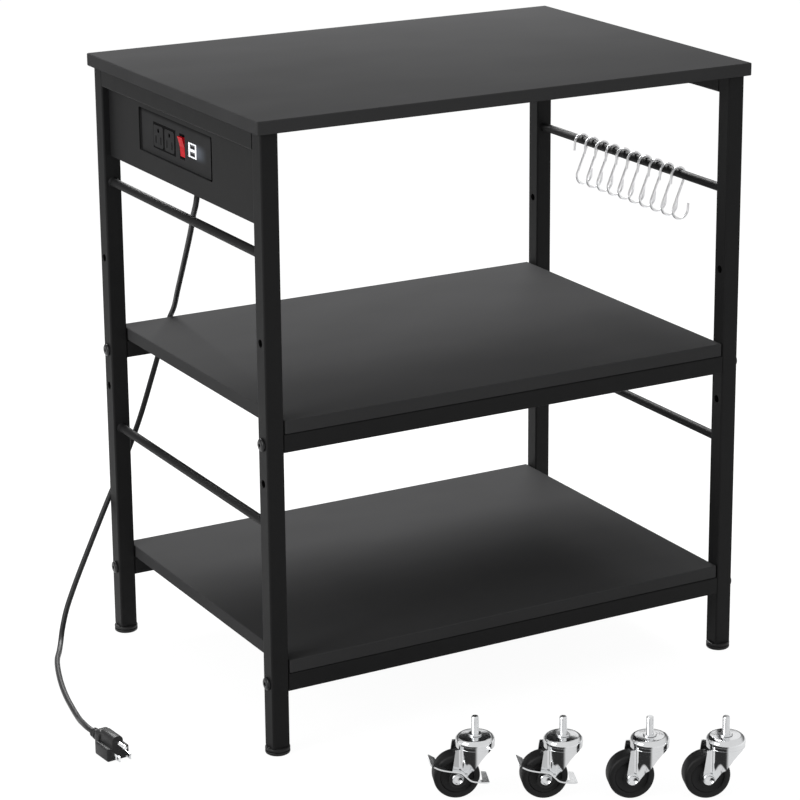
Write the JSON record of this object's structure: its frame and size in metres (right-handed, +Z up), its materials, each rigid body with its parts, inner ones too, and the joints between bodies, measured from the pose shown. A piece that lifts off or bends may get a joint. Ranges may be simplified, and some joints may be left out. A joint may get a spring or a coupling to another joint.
{
  "type": "microwave cart",
  "caption": "Black tiered kitchen cart on a square tube frame, with outlets and a switch in a side panel, a power cord, wire hooks on the other side, levelling feet and loose swivel casters.",
  "frame": {"origin": "on the floor, under the middle of the bounding box of the cart and its loose casters, measured without the cord and plug", "axes": "+Z up, -Y towards the front of the cart, -X out of the side with the outlet panel"},
  "size_m": [0.7536, 0.7632, 0.6855],
  "materials": {
    "board_laminate": "satin black laminate on board",
    "frame_paint": "satin black powder coat",
    "bolt_black": "black coated steel",
    "foot_plastic": "moulded black plastic",
    "black_plastic": "moulded black plastic",
    "switch_red": "glossy red plastic",
    "usb_white": "white plastic",
    "cord_black": "satin black cable sheath",
    "hook_chrome": "bright plated wire",
    "caster_chrome": "bright plated pressed steel",
    "wheel_black": "hard black tread"
  },
  "bodies": {
    "cart": {"top_board": "board_laminate", "middle_shelf": "board_laminate", "bottom_shelf": "board_laminate", "leg_front_left": "frame_paint", "leg_front_right": "frame_paint", "leg_rear_left": "frame_paint", "leg_rear_right": "frame_paint", "middle_rail_front": "frame_paint", "middle_rail_rear": "frame_paint", "bottom_rail_front": "frame_paint", "bottom_rail_rear": "frame_paint", "top_rail_left": "frame_paint", "top_rail_right": "frame_paint", "upper_rod_left": "frame_paint", "upper_rod_right": "frame_paint", "lower_rod_left": "frame_paint", "lower_rod_right": "frame_paint", "outlet_panel": "frame_paint", "bolt_middle_front_left": "bolt_black", "bolt_middle_front_right": "bolt_black", "bolt_middle_rear_left": "bolt_black", "bolt_middle_rear_right": "bolt_black", "bolt_bottom_front_left": "bolt_black", "bolt_bottom_front_right": "bolt_black", "bolt_bottom_rear_left": "bolt_black", "bolt_bottom_rear_right": "bolt_black", "power_unit": "black_plastic", "outlet_insert": "black_plastic", "plug": "black_plastic", "usb_socket": "usb_white", "power_cord": "cord_black", "caster_fork_1": "caster_chrome", "caster_fork_2": "caster_chrome", "caster_fork_3": "caster_chrome", "caster_fork_4": "caster_chrome"},
    "rocker": {"rocker_switch": "switch_red"},
    "hook_1_body": {"hook_1": "hook_chrome"},
    "hook_2_body": {"hook_2": "hook_chrome"},
    "hook_3_body": {"hook_3": "hook_chrome"},
    "hook_4_body": {"hook_4": "hook_chrome"},
    "hook_5_body": {"hook_5": "hook_chrome"},
    "hook_6_body": {"hook_6": "hook_chrome"},
    "hook_7_body": {"hook_7": "hook_chrome"},
    "hook_8_body": {"hook_8": "hook_chrome"},
    "hook_9_body": {"hook_9": "hook_chrome"},
    "hook_10_body": {"hook_10": "hook_chrome"},
    "foot_front_left_body": {"foot_front_left": "foot_plastic"},
    "foot_front_right_body": {"foot_front_right": "foot_plastic"},
    "foot_rear_left_body": {"foot_rear_left": "foot_plastic"},
    "foot_rear_right_body": {"foot_rear_right": "foot_plastic"},
    "stem_1": {"caster_stem_1": "caster_chrome"},
    "wheel_1": {"caster_wheel_1": "wheel_black"},
    "stem_2": {"caster_stem_2": "caster_chrome"},
    "wheel_2": {"caster_wheel_2": "wheel_black"},
    "stem_3": {"caster_stem_3": "caster_chrome"},
    "wheel_3": {"caster_wheel_3": "wheel_black"},
    "stem_4": {"caster_stem_4": "caster_chrome"},
    "wheel_4": {"caster_wheel_4": "wheel_black"},
    "pedal_1": {"brake_pedal_1": "caster_chrome"},
    "pedal_2": {"brake_pedal_2": "caster_chrome"}
  },
  "joints": [
    {"name": "rocker_tilt", "type": "hinge", "parent": "cart", "child": "rocker", "pos_m": [-0.277, 0.16728, 0.617], "axis": [0, 1, 0], "range_deg": [0, 20]},
    {"name": "hook_1_swing", "type": "hinge", "parent": "cart", "child": "hook_1_body", "pos_m": [0.2842, 0.26468, 0.5418], "axis": [0, 1, 0], "range_deg": [-60, 60]},
    {"name": "hook_2_swing", "type": "hinge", "parent": "cart", "child": "hook_2_body", "pos_m": [0.2842, 0.24218, 0.5418], "axis": [0, 1, 0], "range_deg": [-60, 60]},
    {"name": "hook_3_swing", "type": "hinge", "parent": "cart", "child": "hook_3_body", "pos_m": [0.2842, 0.21968, 0.5418], "axis": [0, 1, 0], "range_deg": [-60, 60]},
    {"name": "hook_4_swing", "type": "hinge", "parent": "cart", "child": "hook_4_body", "pos_m": [0.2842, 0.19718, 0.5418], "axis": [0, 1, 0], "range_deg": [-60, 60]},
    {"name": "hook_5_swing", "type": "hinge", "parent": "cart", "child": "hook_5_body", "pos_m": [0.2842, 0.17468, 0.5418], "axis": [0, 1, 0], "range_deg": [-60, 60]},
    {"name": "hook_6_swing", "type": "hinge", "parent": "cart", "child": "hook_6_body", "pos_m": [0.2842, 0.15218, 0.5418], "axis": [0, 1, 0], "range_deg": [-60, 60]},
    {"name": "hook_7_swing", "type": "hinge", "parent": "cart", "child": "hook_7_body", "pos_m": [0.2842, 0.12968, 0.5418], "axis": [0, 1, 0], "range_deg": [-60, 60]},
    {"name": "hook_8_swing", "type": "hinge", "parent": "cart", "child": "hook_8_body", "pos_m": [0.2842, 0.10718, 0.5418], "axis": [0, 1, 0], "range_deg": [-60, 60]},
    {"name": "hook_9_swing", "type": "hinge", "parent": "cart", "child": "hook_9_body", "pos_m": [0.2842, 0.08468, 0.5418], "axis": [0, 1, 0], "range_deg": [-60, 60]},
    {"name": "hook_10_swing", "type": "hinge", "parent": "cart", "child": "hook_10_body", "pos_m": [0.2842, 0.06218, 0.5418], "axis": [0, 1, 0], "range_deg": [-60, 60]},
    {"name": "foot_front_left_screw", "type": "slide", "parent": "cart", "child": "foot_front_left_body", "axis": [0, 0, 1], "range_m": [-0.008, 0]},
    {"name": "foot_front_right_screw", "type": "slide", "parent": "cart", "child": "foot_front_right_body", "axis": [0, 0, 1], "range_m": [-0.008, 0]},
    {"name": "foot_rear_left_screw", "type": "slide", "parent": "cart", "child": "foot_rear_left_body", "axis": [0, 0, 1], "range_m": [-0.008, 0]},
    {"name": "foot_rear_right_screw", "type": "slide", "parent": "cart", "child": "foot_rear_right_body", "axis": [0, 0, 1], "range_m": [-0.008, 0]},
    {"name": "caster_1_swivel", "type": "hinge", "parent": "cart", "child": "stem_1", "pos_m": [-0.155, -0.22632, 0.0655], "axis": [0, 0, 1], "continuous": true},
    {"name": "caster_1_roll", "type": "hinge", "parent": "cart", "child": "wheel_1", "pos_m": [-0.17354, -0.21883, 0.024], "axis": [0.3746, 0.9272, 0], "continuous": true},
    {"name": "caster_2_swivel", "type": "hinge", "parent": "cart", "child": "stem_2", "pos_m": [-0.078, -0.27232, 0.0655], "axis": [0, 0, 1], "continuous": true},
    {"name": "caster_2_roll", "type": "hinge", "parent": "cart", "child": "wheel_2", "pos_m": [-0.09654, -0.26483, 0.024], "axis": [0.3746, 0.9272, 0], "continuous": true},
    {"name": "caster_3_swivel", "type": "hinge", "parent": "cart", "child": "stem_3", "pos_m": [-0.002, -0.31732, 0.0655], "axis": [0, 0, 1], "continuous": true},
    {"name": "caster_3_roll", "type": "hinge", "parent": "cart", "child": "wheel_3", "pos_m": [-0.02054, -0.30983, 0.024], "axis": [0.3746, 0.9272, 0], "continuous": true},
    {"name": "caster_4_swivel", "type": "hinge", "parent": "cart", "child": "stem_4", "pos_m": [0.065, -0.35632, 0.0655], "axis": [0, 0, 1], "continuous": true},
    {"name": "caster_4_roll", "type": "hinge", "parent": "cart", "child": "wheel_4", "pos_m": [0.04646, -0.34883, 0.024], "axis": [0.3746, 0.9272, 0], "continuous": true},
    {"name": "brake_1_press", "type": "hinge", "parent": "cart", "child": "pedal_1", "pos_m": [-0.17354, -0.21883, 0.024], "axis": [0.3746, 0.9272, 0], "range_deg": [-16, 0]},
    {"name": "brake_2_press", "type": "hinge", "parent": "cart", "child": "pedal_2", "pos_m": [-0.09654, -0.26483, 0.024], "axis": [0.3746, 0.9272, 0], "range_deg": [-16, 0]}
  ]
}
